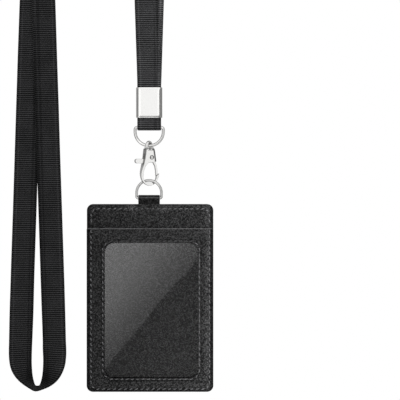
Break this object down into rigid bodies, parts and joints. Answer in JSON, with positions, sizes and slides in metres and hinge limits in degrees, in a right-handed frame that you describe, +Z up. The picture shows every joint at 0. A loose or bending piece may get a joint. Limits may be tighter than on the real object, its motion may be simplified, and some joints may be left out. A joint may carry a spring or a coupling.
{
  "type": "lanyard badge holder",
  "caption": "Black webbing neck lanyard with a metal crimp, D-rings and swivel lobster clasp carrying an upright leather badge holder with a clear front window.",
  "frame": {"origin": "centre of the semicircle the doubled neck strap makes where it hangs", "axes": "+Z up along the hanging strap, +X to the wearer-side right seen from the front, -Y towards the front (window side)"},
  "size_m": [0.1244, 0.0155, 0.3171],
  "materials": {
    "black_webbing": "ribbed woven polyester webbing, matt",
    "nickel_sheet": "bright nickel-plated folded steel sheet",
    "nickel_wire": "bright nickel-plated steel wire",
    "nickel_casting": "bright nickel-plated zinc casting",
    "spring_wire": "plain spring steel wire",
    "black_leather": "fine pebble-grain PU leather, satin",
    "clear_film": "clear glossy vinyl film",
    "board": "plain fibre board, hidden inside",
    "grey_thread": "twisted polyester thread, dark grey"
  },
  "bodies": {
    "strap": {"neck_strap": "black_webbing", "strap_crimp": "nickel_sheet"},
    "upper_ring": {"lanyard_d_ring": "nickel_wire"},
    "swivel": {"swivel_eye": "nickel_casting"},
    "clasp": {"clasp_body": "nickel_casting", "gate_pivot_rivet": "nickel_casting", "gate_spring": "spring_wire"},
    "gate": {"clasp_gate": "nickel_casting"},
    "lower_ring": {"holder_d_ring": "nickel_wire"},
    "holder": {"hanger_tab": "black_leather", "window_panel": "black_leather", "window_film": "clear_film", "inner_front_panel": "black_leather", "stiffener_board": "board", "back_panel": "black_leather", "rear_slot_panel": "black_leather", "edge_stitches_front": "grey_thread", "edge_stitches_back": "grey_thread", "window_stitches_front": "grey_thread", "window_stitches_inside": "grey_thread"}
  },
  "joints": [
    {"name": "upper_ring_swing", "type": "hinge", "parent": "strap", "child": "upper_ring", "pos_m": [0.0339, 0, -0.1221], "axis": [1, 0, 0], "range_deg": [-75, 75]},
    {"name": "eye_swing", "type": "hinge", "parent": "upper_ring", "child": "swivel", "pos_m": [0.0338, 0, -0.13315], "axis": [1, 0, 0], "range_deg": [-60, 60]},
    {"name": "clasp_swivel", "type": "hinge", "parent": "swivel", "child": "clasp", "pos_m": [0.0338, 0, -0.1355], "axis": [0, 0, 1], "continuous": true},
    {"name": "gate_lever", "type": "hinge", "parent": "clasp", "child": "gate", "pos_m": [0.03454, 0.00042, -0.14024], "axis": [-0.5, 0.866, 0], "range_deg": [0, 18], "stiffness_Nm_per_rad": 0.004, "springref_deg": -20.05, "deforming": ["gate_spring"]},
    {"name": "lower_ring_swing", "type": "hinge", "parent": "clasp", "child": "lower_ring", "pos_m": [0.0338, 0, -0.1548], "axis": [1, 0, 0], "range_deg": [-60, 60]},
    {"name": "holder_swing", "type": "hinge", "parent": "lower_ring", "child": "holder", "pos_m": [0.0338, 0, -0.1649], "axis": [1, 0, 0], "range_deg": [-85, 85]}
  ]
}
